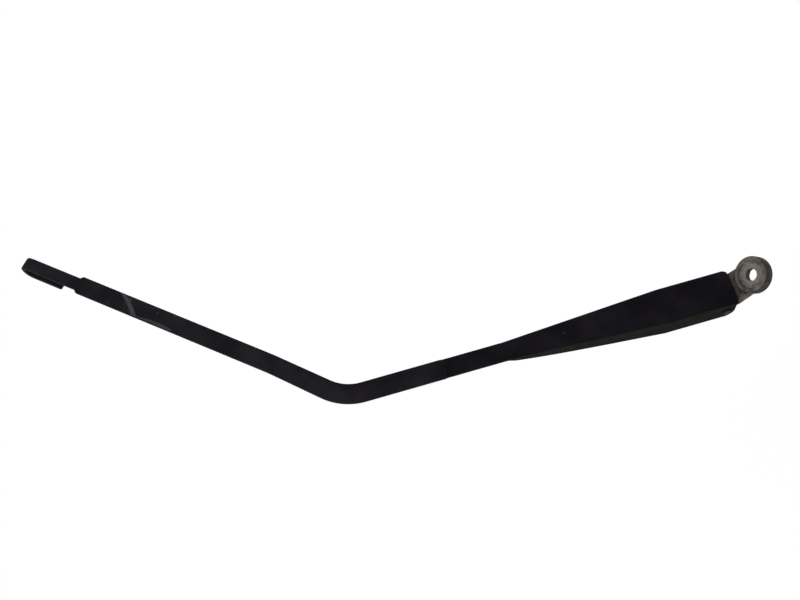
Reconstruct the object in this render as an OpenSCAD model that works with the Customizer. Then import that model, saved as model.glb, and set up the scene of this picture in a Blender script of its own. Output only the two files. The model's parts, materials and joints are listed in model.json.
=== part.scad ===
// Windscreen wiper arm, with its mounting head folded up into the service position.
// The origin is the middle of the nut seat on the spindle bore, with +Z out of the nut side.
// The arm leaves towards -X and lies raised over its mounting head. Its hook lies towards +Y.
// Lengths are in millimetres and angles in degrees.

/* [Mounting head] */
// Diameter of the spindle boss
boss_d = 26.8; // [26:0.2:30]
// Diameter of the nut seat that is sunk into the boss
seat_d = 20.2; // [16:0.2:21]
// Depth of the nut seat below the rim of the boss
seat_depth = 1.2; // [0.6:0.1:2]
// Diameter of the bore for the threaded end of the spindle
stud_bore_d = 8.8; // [8.4:0.1:11]
// Length of the stud bore, from the nut seat down to the socket
stud_bore_l = 5.1; // [4:0.1:8]
// Mouth diameter of the serrated taper socket
socket_d = 16; // [14:0.2:17]
// Depth of the serrated taper socket
socket_l = 6.7; // [5:0.1:10]
// Half angle of the socket's taper
socket_taper = 6; // [3:0.5:9]
// Number of serrations round the socket
serrations = 48; // [36:4:60]
// Distance from the spindle bore to the hinge pin
neck_l = 30.2; // [28:0.2:40]
// Width of the neck
neck_w = 20.8; // [19:0.2:21.4]
// Thickness of the neck
neck_t = 6; // [5:0.1:7]

/* [Hinge] */
// Angle by which the arm is raised over its mounting head
raise_angle = 48; // [30:1:48]
// Depth of the hinge pin below the outer face of the channel
hinge_depth = 12; // [11.5:0.1:13]
// Height of the nut seat over the hinge pin
hinge_drop = 2.2; // [1.8:0.1:3]
// Diameter of the hinge pin
pin_d = 4.8; // [4:0.1:5.4]
// Distance from the hinge pin to the link pin in the mounting head
link_reach = 9; // [8.6:0.1:9.6]
// Angle of the link pin below the neck
link_dip = 40; // [38:1:42]
// Diameter of the link pin
link_pin_d = 3.5; // [3:0.1:4]

/* [Channel] */
// Outer width of the channel at its wide end
channel_w = 27; // [26.6:0.1:30]
// Depth of the channel at its wide end
channel_h = 19.5; // [18.5:0.1:24]
// Thickness of the channel's steel sheet
sheet_t = 1.2; // [1:0.05:1.5]
// Outward lean of each cheek at the wide end
cheek_flare = 3; // [1:0.5:4]
// Distance that the channel reaches past the hinge pin
overhang = 7; // [6.6:0.1:7.4]
// Length of the parallel stretch behind the hinge pin
parallel_l = 47; // [40:1:60]
// Length over which the channel narrows to the rod
taper_l = 119; // [90:1:140]
// Length of the sleeve that is folded round the rod
sleeve_l = 45.6; // [30:0.2:70]

/* [Rod] */
// Width of the flat rod
rod_w = 13.6; // [12:0.1:15]
// Width of the rod from the sleeve round the knee
root_w = 14.3; // [13:0.1:16]
// Thickness of the flat rod
rod_t = 4; // [3.4:0.1:4.6]
// Distance from the sleeve to the start of the knee
straight_l = 59.3; // [30:0.1:90]
// Radius of the knee at the middle of the rod
knee_r = 37; // [25:1:60]
// Angle of the knee
knee_angle = 42.6; // [20:0.1:60]
// Length between the knee and the droop
middle_l = 39; // [20:1:60]
// Angle by which the outer rod droops towards the glass
droop_angle = 8; // [3:0.5:12]
// Length of the outer rod, up to the shoulders of the hook
outer_l = 160; // [120:1:220]

/* [Blade hook] */
// Width of the hook
hook_w = 9.6; // [7:0.1:11]
// Length of the hook's upper leg, from the shoulders to the start of the bend
hook_l = 45.2; // [38:0.1:50]
// Gap between the two legs of the hook
hook_gap = 8.2; // [6.2:0.1:9]
// Length of the hook's lower leg
return_l = 25.5; // [18:0.1:28]

/* [Spring] */
// Diameter of the spring wire
wire_d = 2.2; // [1.8:0.1:2.4]
// Outer diameter of the spring
spring_d = 10; // [9:0.2:10.4]
// Distance from one turn to the next, with the arm raised
spring_pitch = 3; // [2.8:0.1:3.6]

/* [Hidden] */
$fn = 48;

// One overrun serves all cuts
cut = 1;

// Places in the arm's own frame, whose origin is on the hinge pin, with +X towards the spindle
sleeve_x = -parallel_l - taper_l;
sleeve_end_x = sleeve_x - sleeve_l;
rod_z = hinge_depth - sheet_t - rod_t / 2;
knee_x = sleeve_end_x - straight_l;

// Edge rounding of the rod, which the folds of the channel follow
rod_edge = 1;
fold_r = rod_edge + sheet_t;
sleeve_w = rod_w;
tang_w = sleeve_w - 2 * sheet_t;
sleeve_h = rod_t + 2 * sheet_t;
tang_past_rivet = 9;
tang_shoulder = 0.15;
shoulder_l = 2.6;
droop_r = 60;

// Rivet that joins rod and channel, whose lower end is the spring's far post
rivet_share = 0.621;
rivet_x = -parallel_l - taper_l * rivet_share;
rivet_d = 5;
rivet_head_d = 6.4;
rivet_head_t = 0.6;
post_gap = 0.2;
post_d = rivet_d - 2 * post_gap;
post_flange_t = 0.8;

// Hinge, its bushes and the slot of the mounting head that the link swings in
pin_play = 0.05;
bush_wall = 1.15;
bush_d = pin_d + 2 * (pin_play + bush_wall);
bush_flange_d = 10.4;
lug_d = 11.2;
side_play = 0.35;
cheek_lean = tan(cheek_flare);
bush_top_depth = hinge_depth - bush_flange_d / 2;
bush_flange_t = channel_w / 2 - sheet_t + bush_top_depth * cheek_lean - neck_w / 2 - side_play;
pin_head_d = 6.8;
pin_head_t = 0.9;
pin_reach = channel_w / 2 + (hinge_depth + pin_head_d / 2) * cheek_lean;
link_t = 3;
slot_w = link_t + 1;
link_play = 0.1;
link_eye_d = 7.4;
link_bar_w = 3.2;
link_clear = 0.5;

// Mounting head, whose neck stops the raised arm at the channel's end
neck_over_pin = 1.6;
neck_z = neck_over_pin - hinge_drop;
rim_edge = 1;
cap_h = 6;
nose_d = 21.2;
nose_z = -stud_bore_l - socket_l;
mouth_chamfer = 0.9;
tooth_share = 0.94;
throat_fillet = 2.5;
fillet_bite = 0.1;
link_boss_d = 8;
link_pin_x = link_reach * cos(link_dip);
link_pin_z = -link_reach * sin(link_dip);
pocket_wall = 3.6;
pocket_share = 0.6;
slot_front = link_pin_x + link_eye_d / 2 + link_clear;
slot_rim = 2;
link_pin_l = neck_w - 1;

// Line of the spring, from the link pin to the far post, seen in the arm's frame
link_at = [link_reach * cos(raise_angle - link_dip), link_reach * sin(raise_angle - link_dip)];
post_at = [rivet_x, rod_z - rod_t / 2 - post_gap - wire_d / 2];
spring_run = norm(post_at - link_at);
spring_tilt = atan2(post_at[1] - link_at[1], link_at[0] - post_at[0]);
pin_on_line = [link_at[0] * cos(spring_tilt) - link_at[1] * sin(spring_tilt),
    -link_at[0] * sin(spring_tilt) - link_at[1] * cos(spring_tilt)];
bow_r = pin_d / 2 + link_clear + link_bar_w / 2;
link_eye_x = pin_on_line[0] + bow_r + link_eye_d / 2;

// Places a piece of the arm, raised about the hinge pin
module in_arm() {
    translate([-neck_l, 0, -hinge_drop]) rotate([0, raise_angle, 0]) children();
}

// Places a piece along the spring's line, with X from the link pin to the far post
module on_spring_line() {
    translate([link_at[0], 0, link_at[1]]) rotate([0, spring_tilt, 0]) mirror([1, 0, 0]) children();
}

// Cylinder along Y, centred on the origin
module cross_cylinder(d, l) {
    rotate([90, 0, 0]) cylinder(d = d, h = l, center = true);
}

// Die-cast head: rim, nut seat, stud bore, serrated taper socket, neck and fork
module mounting_head() {
    rim_r = boss_d / 2;
    nose_r = nose_d / 2;
    rim_arc = [for (a = [0:22.5:90])
        [rim_r - rim_edge + rim_edge * cos(a), seat_depth - rim_edge + rim_edge * sin(a)]];
    color([0.47, 0.45, 0.43]) difference() {
        union() {
            rotate_extrude($fn = 96) polygon(concat(
                [[0, nose_z], [nose_r - mouth_chamfer, nose_z], [nose_r, nose_z + mouth_chamfer],
                    [nose_r, -cap_h - (rim_r - nose_r) / 2], [rim_r, -cap_h]], rim_arc, [[0, seat_depth]]));
            neck();
        }
        cylinder(d = seat_d, h = seat_depth + cut, $fn = 96);
        translate([0, 0, nose_z]) cylinder(d = stud_bore_d, h = -nose_z + cut, $fn = 96);
        socket();
        translate([-neck_l, 0, -hinge_drop]) {
            cross_cylinder(bush_d, neck_w + cut);
            translate([link_pin_x, 0, link_pin_z]) cross_cylinder(link_pin_d, neck_w + cut);
            link_slot();
        }
        underside_pocket();
    }
}

// Serrated taper that grips the spindle, wider towards its mouth, with a chamfer there
module socket() {
    mouth_r = socket_d / 2;
    throat_r = mouth_r - socket_l * tan(socket_taper);
    n = 2 * serrations;
    star = [for (p = [[mouth_r, 0], [throat_r, socket_l]], i = [0:n - 1])
        let(r = p[0] * (i % 2 == 0 ? 1 : tooth_share), a = 360 * i / n) [r * cos(a), r * sin(a), p[1]]];
    translate([0, 0, nose_z]) {
        polyhedron(points = concat(star, [[0, 0, 0], [0, 0, socket_l]]), faces = [for (i = [0:n - 1])
            let(k = (i + 1) % n) each [[2 * n, i, k], [i, n + i, n + k], [i, n + k, k],
                [2 * n + 1, n + k, n + i]]]);
        translate([0, 0, -cut])
            cylinder(r1 = mouth_r + mouth_chamfer + cut, r2 = mouth_r, h = cut + mouth_chamfer, $fn = 96);
    }
}

// Neck with its rounded fork end, the bosses of the link pin and fillets at the spindle boss
module neck() {
    boss_r = boss_d / 2;
    fillet_y = neck_w / 2 + throat_fillet;
    fillet_x = sqrt(pow(boss_r + throat_fillet - fillet_bite, 2) - pow(fillet_y, 2));
    touch = (boss_r - cut) / (boss_r + throat_fillet);
    translate([0, neck_w / 2, 0]) rotate([90, 0, 0]) linear_extrude(height = neck_w) {
        translate([-neck_l, neck_z - neck_t]) square([neck_l, neck_t]);
        translate([-neck_l, -hinge_drop]) {
            circle(d = lug_d);
            translate([link_pin_x, link_pin_z]) circle(d = link_boss_d);
            fork_web();
        }
    }
    for (side = [-1, 1]) translate([0, 0, neck_z - neck_t]) difference() {
        linear_extrude(height = neck_t) polygon([[-fillet_x, side * (neck_w / 2 - cut)],
            [-fillet_x, side * neck_w / 2], [-fillet_x * touch, side * fillet_y * touch],
            [0, side * (neck_w / 2 - cut)]]);
        translate([-fillet_x, side * fillet_y, -cut])
            cylinder(r = throat_fillet, h = neck_t + 2 * cut, $fn = 96);
    }
}

// Web between hinge lug, link boss and spindle boss, seen from the side
module fork_web() {
    lug_r = lug_d / 2;
    link_r = link_boss_d / 2;
    lean = atan2(link_pin_z, link_pin_x);
    slope = lean - 90 + asin((lug_r - link_r) / link_reach);
    nose_reach = neck_l - nose_d / 2 + cut;
    polygon([[lug_r * cos(slope), lug_r * sin(slope)],
        [link_pin_x + link_r * cos(slope), link_pin_z + link_r * sin(slope)],
        [link_pin_x, link_pin_z - link_r], [nose_reach, link_pin_z - link_r / 2],
        [nose_reach, neck_over_pin], [0, neck_over_pin]]);
}

// Slot of the fork, long enough for the eye of the link to turn in
module link_slot() {
    slot_back = lug_d / 2 + cut;
    slot_h = lug_d + 2 * link_reach;
    translate([-slot_back, -slot_w / 2, -slot_h / 2]) cube([slot_front + slot_back, slot_w, slot_h]);
}

// Cored pocket under the neck, between its two ribs
module underside_pocket() {
    pocket_back = -neck_l + slot_front + slot_rim;
    pocket_front = -nose_d / 2 - link_clear;
    pocket_w = neck_w - 2 * pocket_wall;
    pocket_top = neck_z - neck_t * pocket_share;
    translate([pocket_back, -pocket_w / 2, nose_z])
        cube([pocket_front - pocket_back, pocket_w, pocket_top - nose_z]);
}

// Flanged nylon bush between one lug of the fork and its cheek; side is 1 for +Y and -1 for -Y
module hinge_bush(side) {
    bush_l = (neck_w - slot_w) / 2 - link_clear;
    color([0.82, 0.80, 0.74]) translate([-neck_l, side * neck_w / 2, -hinge_drop]) rotate([side * 90, 0, 0])
        difference() {
            union() {
                translate([0, 0, -bush_flange_t]) cylinder(d = bush_flange_d, h = bush_flange_t);
                cylinder(d = bush_d, h = bush_l);
            }
            translate([0, 0, -bush_flange_t - cut])
                cylinder(d = pin_d + 2 * pin_play, h = bush_flange_t + bush_l + 2 * cut);
        }
}

module hinge_bush_far() { hinge_bush(1); }
module hinge_bush_near() { hinge_bush(-1); }

// Pin in the mounting head that the spring pulls on
module link_pin() {
    color([0.60, 0.60, 0.60]) translate([link_pin_x - neck_l, 0, link_pin_z - hinge_drop])
        cross_cylinder(link_pin_d, link_pin_l);
}

// Share of the way along the taper at a place along the arm
function taper_share(x) = min(1, max(0, (-parallel_l - x) / taper_l));
function half_w(x) = channel_w / 2 + (sleeve_w - channel_w) / 2 * taper_share(x);
// The lower edge falls away evenly at first and faster near the sleeve
even_share = 0.55;
late_power = 4;
function depth(x) = let(s = taper_share(x))
    channel_h - (channel_h - sleeve_h) * (even_share * s + (1 - even_share) * pow(s, late_power));
function lean(x) = cheek_lean * (1 - taper_share(x));

// Quarter of a fold, from the cheek up to the top
fold_angles = [0:18:90];
function fold(w, r) = [for (a = fold_angles) [w - r + r * cos(a), -r + r * sin(a)]];
function mirrored(points) = [for (p = points) [-p[0], p[1]]];
function reversed(points) = [for (i = [len(points) - 1:-1:0]) points[i]];

// Section of the channel at a place along the arm, as a closed outline of Y and Z. Its lower edges are broken
// lightly on the channel and more where they are folded under the rod.
edge_break = 0.25;
fold_break = 0.9;
function channel_section(x) = let(
    low = -depth(x), out = half_w(x) + lean(x) * depth(x), in = half_w(x) - sheet_t,
    broken = edge_break + (fold_break - edge_break) * pow(taper_share(x), late_power),
    outside = concat([[out - broken, low], [out, low + broken]], fold(half_w(x), fold_r)),
    inside = concat([[out - sheet_t, low], [out - sheet_t, low + edge_break]],
        [for (p = fold(in, rod_edge)) [p[0], p[1] - sheet_t]]))
    [for (p = concat(inside, reversed(mirrored(inside)), mirrored(outside), reversed(outside)))
        [x, p[0], p[1] + hinge_depth]];

// Skins a row of outlines with one even number of points, each turning left as seen from the row's end
module skinned(sections) {
    n = len(sections[0]);
    last = (len(sections) - 1) * n;
    polyhedron(points = [for (s = sections, p = s) p], faces = concat(
        [for (i = [0:n / 2 - 2]) each [[i, i + 1, n - 2 - i], [i, n - 2 - i, n - 1 - i]]],
        [for (j = [0:n:last - n], i = [0:n - 1]) let(k = (i + 1) % n)
            each [[j + i, j + n + i, j + n + k], [j + i, j + n + k, j + k]]],
        [for (i = [0:n / 2 - 2]) each [[last + i, last + n - 2 - i, last + i + 1],
            [last + i, last + n - 1 - i, last + n - 2 - i]]]));
}

// Pressed steel channel, open below, narrowing into a sleeve that is folded round the rod
module arm_channel() {
    taper_steps = 12;
    stations = concat([overhang], [for (i = [0:taper_steps]) -parallel_l - taper_l * i / taper_steps],
        [sleeve_end_x]);
    color([0.10, 0.10, 0.11]) in_arm() difference() {
        union() {
            skinned([for (x = stations) channel_section(x)]);
            for (side = [-1, 1]) sleeve_flange(side);
        }
        cross_cylinder(pin_d, 2 * channel_w);
        translate([rivet_x, 0, hinge_depth - sheet_t - cut]) cylinder(d = rivet_d, h = sheet_t + 2 * cut);
        end_trim();
    }
}

// Half of the sleeve's floor, folded under the rod up to the seam; side is 1 for +Y and -1 for -Y
module sleeve_flange(side) {
    seam_w = 1.6;
    notch_l = 10;
    flange_set = 0.15;
    reach = sleeve_w / 2 - sheet_t + flange_set;
    floor_z = rod_z - rod_t / 2 - sheet_t + flange_set;
    translate([sleeve_x, 0, floor_z]) linear_extrude(height = sheet_t - flange_set)
        polygon([[0, side * reach], [-notch_l, side * seam_w / 2],
            [flange_set - sleeve_l, side * seam_w / 2], [flange_set - sleeve_l, side * reach]]);
}

// Rounds the lower corner of both cheeks and cuts the far corner of the top at the open end
module end_trim() {
    corner_r = 8;
    corner_l = 3.4;
    corner_w = 2.5;
    cheek_set = 1;
    low = hinge_depth - channel_h;
    reach = overhang - cheek_set;
    rotate([90, 0, 0]) translate([0, 0, -channel_w]) linear_extrude(height = 2 * channel_w) difference() {
        translate([reach - corner_r, low - cut]) square([corner_r + cheek_set + cut, corner_r + cut]);
        translate([reach - corner_r, low + corner_r]) circle(r = corner_r, $fn = 96);
    }
    translate([reach, -channel_w, low]) cube([cheek_set + cut, 2 * channel_w, channel_h - fold_r]);
    translate([0, 0, hinge_depth - fold_r - cut]) linear_extrude(height = fold_r + 2 * cut)
        polygon([[overhang - corner_l, channel_w / 2], [overhang - corner_l, channel_w],
            [overhang + cut, channel_w], [overhang + cut, channel_w / 2 - corner_w],
            [overhang, channel_w / 2 - corner_w]]);
}

// Hinge pin, riveted over at both cheeks
module hinge_pin() {
    dome_share = 0.75;
    color([0.42, 0.42, 0.41]) in_arm() {
        cross_cylinder(pin_d, 2 * pin_reach);
        for (side = [-1, 1]) translate([0, side * pin_reach, 0]) rotate([-side * 90, 0, 0])
            cylinder(d1 = pin_head_d, d2 = pin_head_d * dome_share, h = pin_head_t);
    }
}

// Moves that a bar takes on its way towards -X: ahead, round a bend towards +Y, and round one towards -Z
function shift(v) = [[1, 0, 0, v[0]], [0, 1, 0, v[1]], [0, 0, 1, v[2]], [0, 0, 0, 1]];
function turn_z(a) = [[cos(a), -sin(a), 0, 0], [sin(a), cos(a), 0, 0], [0, 0, 1, 0], [0, 0, 0, 1]];
function turn_y(a) = [[cos(a), 0, sin(a), 0], [0, 1, 0, 0], [-sin(a), 0, cos(a), 0], [0, 0, 0, 1]];
function ahead(l) = shift([-l, 0, 0]);
function bend(r, a) = shift([0, r, 0]) * turn_z(-a) * shift([0, -r, 0]);
function dip(r, a) = shift([0, 0, -r]) * turn_y(-a) * shift([0, 0, r]);

// Outline of a flat bar with rounded edges, in Y and Z
function bar_outline(w, t) = [for (q = [0:3], a = [0:45:90]) let(b = -90 * q - a, e = rod_edge)
    [(w / 2 - e) * (q == 0 || q == 3 ? 1 : -1) + e * cos(b), (t / 2 - e) * (q < 2 ? -1 : 1) + e * sin(b)]];

// Flat rod in one piece of steel: tang with a round end, straight, knee, droop, shoulders and blade hook
module arm_rod() {
    tang_r = tang_w / 2;
    tang_x = rivet_x + tang_past_rivet;
    round_end = [25, 45, 65, 90];
    knee_steps = 16;
    droop_steps = 4;
    hook_steps = 12;
    moves = concat(
        [for (i = [1:3]) [ahead(tang_r * (cos(round_end[i - 1]) - cos(round_end[i]))),
            tang_w * sin(round_end[i])]],
        [[ahead(tang_x - tang_r - sleeve_end_x), tang_w], [ahead(tang_shoulder), root_w],
            [ahead(straight_l - tang_shoulder), root_w]],
        [for (i = [1:knee_steps]) [bend(knee_r, knee_angle / knee_steps), root_w]],
        [[ahead(middle_l), rod_w]],
        [for (i = [1:droop_steps]) [dip(droop_r, droop_angle / droop_steps), rod_w]],
        [[ahead(outer_l), rod_w], [ahead(shoulder_l), hook_w], [ahead(hook_l - shoulder_l), hook_w]],
        [for (i = [1:hook_steps]) [dip((hook_gap + rod_t) / 2, 180 / hook_steps), hook_w]],
        [[ahead(return_l), hook_w]]);
    start = shift([tang_x - tang_r * (1 - cos(round_end[0])), 0, rod_z]);
    places = [for (i = 0, m = start; i <= len(moves);
        m = i < len(moves) ? m * moves[i][0] : m, i = i + 1) m];
    widths = concat([tang_w * sin(round_end[0])], [for (m = moves) m[1]]);
    color([0.11, 0.11, 0.12]) in_arm() difference() {
        skinned([for (i = [0:len(places) - 1]) [for (p = bar_outline(widths[i], rod_t))
            let(q = places[i] * [0, p[0], p[1], 1]) [q[0], q[1], q[2]]]]);
        translate([rivet_x, 0, rod_z]) cylinder(d = rivet_d, h = 2 * rod_t, center = true);
    }
}

// Turned rivet through channel and rod, whose waisted lower end holds the spring
module rod_rivet() {
    head_r = rivet_head_d / 2;
    post_z = post_at[1];
    waist = wire_d / 2 + post_gap;
    color([0.11, 0.11, 0.12]) in_arm() translate([rivet_x, 0, 0]) rotate_extrude() polygon([
        [0, hinge_depth + rivet_head_t], [head_r / 2, hinge_depth + rivet_head_t], [head_r, hinge_depth],
        [rivet_d / 2, hinge_depth], [rivet_d / 2, rod_z - rod_t / 2], [post_d / 2, rod_z - rod_t / 2],
        [post_d / 2, post_z - waist], [head_r, post_z - waist - post_gap],
        [head_r, post_z - waist - post_flange_t], [0, post_z - waist - post_flange_t]]);
}

// Stamped link that hooks the spring to the mounting head and bows round the hinge pin
module spring_link() {
    color([0.55, 0.55, 0.54]) in_arm() on_spring_line() translate([0, link_t / 2, 0]) rotate([90, 0, 0])
        linear_extrude(height = link_t) difference() {
            union() {
                circle(d = link_eye_d);
                translate([link_eye_x, 0]) circle(d = link_eye_d);
                link_bow();
            }
            circle(d = link_pin_d + 2 * link_play);
            translate([link_eye_x, 0]) circle(d = wire_d + 2 * link_clear);
        }
}

// Half ring below the hinge pin, with a leg to each eye
module link_bow() {
    outer = bow_r + link_bar_w / 2;
    inner = bow_r - link_bar_w / 2;
    translate(pin_on_line) difference() {
        circle(r = outer);
        circle(r = inner);
        translate([-outer - cut, 0]) square([2 * (outer + cut), outer + cut]);
    }
    difference() {
        polygon([[0, 0], [0, -link_eye_d / 2], [pin_on_line[0] - outer, pin_on_line[1]],
            [pin_on_line[0] - inner, pin_on_line[1]], [pin_on_line[0] - inner, 0]]);
        translate(pin_on_line) circle(r = inner);
    }
    polygon([[pin_on_line[0] + inner, pin_on_line[1]], [pin_on_line[0] + outer, pin_on_line[1]],
        [link_eye_x, -link_eye_d / 2], [link_eye_x, link_eye_d / 2], [pin_on_line[0] + inner, 0]]);
}

function unit(v) = v / norm(v);
function between(a, b, c, d, t) =
    a * pow(1 - t, 3) + b * 3 * t * pow(1 - t, 2) + c * 3 * t * t * (1 - t) + d * pow(t, 3);

// Round wire along a path, as rings that are carried along it without twist
module wire(path, r, sides) {
    n = len(path);
    way = [for (i = [0:n - 1]) unit(path[min(i + 1, n - 1)] - path[max(i - 1, 0)])];
    across = [for (i = 0, v = [0, 0, 1]; i < n;
        i = i + 1, v = i < n ? unit(v - (v * way[i]) * way[i]) : v) v];
    skinned([for (i = [0:n - 1]) [for (k = [0:sides - 1]) let(a = 360 * k / sides)
        path[i] + r * (cos(a) * across[i] + sin(a) * cross(way[i], across[i]))]]);
}

// Coil spring with an open loop at each end: one in the link's eye and one round the rivet's post
module tension_spring() {
    turn_steps = 14;
    loop_r = post_d / 2 + post_gap + wire_d / 2;
    coil_r = (spring_d - wire_d) / 2;
    loop_x = link_eye_x + loop_r;
    coil_gap = tang_past_rivet + link_clear * 2;
    coil_l = spring_run - loop_x - 2 * coil_gap;
    turns = round(coil_l / spring_pitch);
    ease = loop_r;
    loop = [for (a = [60:20:300]) [loop_x + loop_r * cos(a), loop_r * sin(a), 0]];
    loop_end = loop[len(loop) - 1];
    coil_start = [loop_x + coil_gap, 0, -coil_r];
    coil_way = unit([coil_l / turns / (2 * PI), coil_r, 0]);
    run_in = [for (t = [0.1:0.1:0.9]) between(loop_end, loop_end + ease * [sin(60), cos(60), 0],
        coil_start - ease * coil_way, coil_start, t)];
    coil = [for (i = [0:turns * turn_steps]) let(a = 360 * i / turn_steps)
        [coil_start[0] + coil_l * i / (turns * turn_steps), coil_r * sin(a), -coil_r * cos(a)]];
    end_part = concat(loop, run_in);
    far_part = [for (p = reversed(end_part)) [loop_x + spring_run - p[0], -p[1], p[2]]];
    color([0.62, 0.60, 0.52]) in_arm() on_spring_line() wire(concat(end_part, coil, far_part), wire_d / 2, 6);
}

mounting_head();
hinge_bush_far();
hinge_bush_near();
link_pin();
arm_channel();
hinge_pin();
arm_rod();
rod_rivet();
spring_link();
tension_spring();
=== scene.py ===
import json
import math

import bmesh
import bpy
import numpy as np
from mathutils import Matrix


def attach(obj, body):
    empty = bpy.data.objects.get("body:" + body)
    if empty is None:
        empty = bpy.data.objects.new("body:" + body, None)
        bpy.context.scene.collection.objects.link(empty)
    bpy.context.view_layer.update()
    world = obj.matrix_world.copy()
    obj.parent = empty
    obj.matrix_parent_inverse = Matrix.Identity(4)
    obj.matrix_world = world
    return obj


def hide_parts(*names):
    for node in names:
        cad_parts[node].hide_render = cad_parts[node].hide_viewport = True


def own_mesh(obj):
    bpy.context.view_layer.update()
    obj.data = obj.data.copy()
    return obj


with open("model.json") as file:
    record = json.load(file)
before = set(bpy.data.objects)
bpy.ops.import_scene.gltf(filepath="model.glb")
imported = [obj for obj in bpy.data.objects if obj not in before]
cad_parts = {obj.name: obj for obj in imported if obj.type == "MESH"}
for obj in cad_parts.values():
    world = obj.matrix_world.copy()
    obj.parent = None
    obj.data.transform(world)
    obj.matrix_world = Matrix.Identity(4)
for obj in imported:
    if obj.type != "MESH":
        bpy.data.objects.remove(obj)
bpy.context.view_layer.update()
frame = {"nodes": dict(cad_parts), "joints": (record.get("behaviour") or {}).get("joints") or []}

mm = 0.001
print("frame loaded")

# The arm's own frame has its origin on the hinge pin and +X towards the spindle, and is raised about the pin.
raised = math.radians(48)
hinge = next(j for j in frame["joints"] if j["name"] == "arm_hinge")
hingePoint = np.array(hinge["pos_m"]) / mm
armTurn = np.array([[math.cos(raised), 0, math.sin(raised)], [0, 1, 0], [-math.sin(raised), 0, math.cos(raised)]])


def inRow(points):  # a point of the arm's frame, turned by the raised angle and moved to the hinge
    return points @ armTurn.T + hingePoint


def smoothStep(low, high, x):  # 3t^2 - 2t^3 of the share t of the way from low to high
    t = np.clip((x - low) / (high - low), 0, 1)
    return t * t * (3 - 2 * t)


def linearColour(hexText):  # sRGB hex to linear: ((c + 0.055) / 1.055)^2.4, or c / 12.92 when dark
    c = np.array([int(hexText[i:i + 2], 16) / 255 for i in (1, 3, 5)])
    return (*np.where(c > 0.04045, ((c + 0.055) / 1.055) ** 2.4, c / 12.92), 1.0)


smooth, coloured = {"interpolation_type": "SMOOTHSTEP"}, {"data_type": "RGBA"}


def addNode(tree, kind, inputs=(), output=0, **settings):
    # inputs stand in the node's own order or under its sockets' names, and each is a number, a hex colour or the
    # socket that feeds it
    node = tree.nodes.new("ShaderNode" + kind)
    for name, value in settings.items():
        setattr(node, name, value)
    for key, value in inputs.items() if isinstance(inputs, dict) else enumerate(inputs):
        if isinstance(value, bpy.types.NodeSocket):
            tree.links.new(value, node.inputs[key])
        else:
            node.inputs[key].default_value = linearColour(value) if isinstance(value, str) else value
    return node.outputs[output]


def newMaterial(name, grains=None):
    # a material with its tree and shader, the object's own coordinates, and a noise for every named grain, which is
    # given as its size in mm, its detail and its roughness
    material = bpy.data.materials.new(name)
    material.use_nodes = True
    tree = material.node_tree
    place = addNode(tree, "TexCoord", output="Object")
    noises = {key: addNode(tree, "TexNoise", {"Vector": place, "Scale": 1 / (size * mm), "Detail": detail,
                                              "Roughness": rough}, "Fac")
              for key, (size, detail, rough) in (grains or {}).items()}
    return material, tree, tree.nodes["Principled BSDF"], place, noises


def finishMaterial(tree, shader, base, rough, relief, depthMm, strength):
    # the last links: colour and roughness straight into the shader, and the relief as a bump of the given depth
    bump = addNode(tree, "Bump", {"Height": relief, "Distance": depthMm * mm, "Strength": strength})
    for socket, source in (("Base Color", base), ("Roughness", rough), ("Normal", bump)):
        tree.links.new(source, shader.inputs[socket])


smears = {"spots": ((-43.1, 4.2, 2.1, 0.6), (-62.4, 4.6, 1.2, 0.2), (-67.6, 2.4, 1.4, 0.45), (-81, 5.2, 1.2, 0.4),
                    (-28, -5.2, 1.6, 0.25), (-97, 1, 1.3, 0.2)), "colour": "#444346", "bandAt": 44.6, "bandLean": 1.3,
          "bandBend": 0.03, "bandEdge": (3.0, 1.8), "humpAt": 71, "humpBend": 0.0065, "humpEdge": (-4.0, -4.7),
          "sliverEnds": (-86, -82), "sliverLow": (-6.7, -6.2), "sliverLevel": 0.75}


def rodSmears(tree, streak):
    # dull grey smears on the outer rod, in mm from the hook's shoulders (u) and across (v): a band about the line
    # u = lean v + bend v^2 - bandAt, a sliver below the parabola v = humpEdge - bend (u + humpAt)^2, and a few spots
    flat = addNode(tree, "UVMap", uv_map="rodMm")
    u, v, _ = addNode(tree, "SeparateXYZ", (flat,)).node.outputs
    slope = addNode(tree, "Math", (v, smears["bandBend"], smears["bandLean"]), operation="MULTIPLY_ADD")
    line = addNode(tree, "Math", (v, slope), operation="MULTIPLY")
    along = addNode(tree, "Math", (u, smears["bandAt"]), operation="ADD")
    offLine = addNode(tree, "Math", (along, line), operation="SUBTRACT")
    offLine = addNode(tree, "Math", (offLine,), operation="ABSOLUTE")
    smear = addNode(tree, "MapRange", (offLine, *smears["bandEdge"]), **smooth)
    along = addNode(tree, "Math", (u, smears["humpAt"]), operation="ADD")
    squared = addNode(tree, "Math", (along, along), operation="MULTIPLY")
    fromHump = addNode(tree, "Math", (squared, smears["humpBend"], v), operation="MULTIPLY_ADD")
    sliver = smears["sliverLevel"]
    for source, ends in ((fromHump, smears["humpEdge"]), (u, smears["sliverEnds"]), (v, smears["sliverLow"])):
        part = addNode(tree, "MapRange", (source, *ends), **smooth)
        sliver = addNode(tree, "Math", (sliver, part), operation="MULTIPLY")
    smear = addNode(tree, "Math", (smear, sliver), operation="MAXIMUM")
    for spotU, spotV, size, level in smears["spots"]:
        away = addNode(tree, "VectorMath", (flat, (spotU, spotV, 0)), "Value", operation="DISTANCE")
        spot = addNode(tree, "MapRange", (away, size, size * 0.3, 0, level), **smooth)
        smear = addNode(tree, "Math", (smear, spot), operation="MAXIMUM")
    streak = addNode(tree, "MapRange", (streak, 0.25, 0.6, 0.6, 1), **smooth)
    smear = addNode(tree, "Math", (smear, streak), operation="MULTIPLY")
    onTop = addNode(tree, "Attribute", output="Fac", attribute_name="upper")
    return addNode(tree, "Math", (smear, onTop), operation="MULTIPLY")


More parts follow.
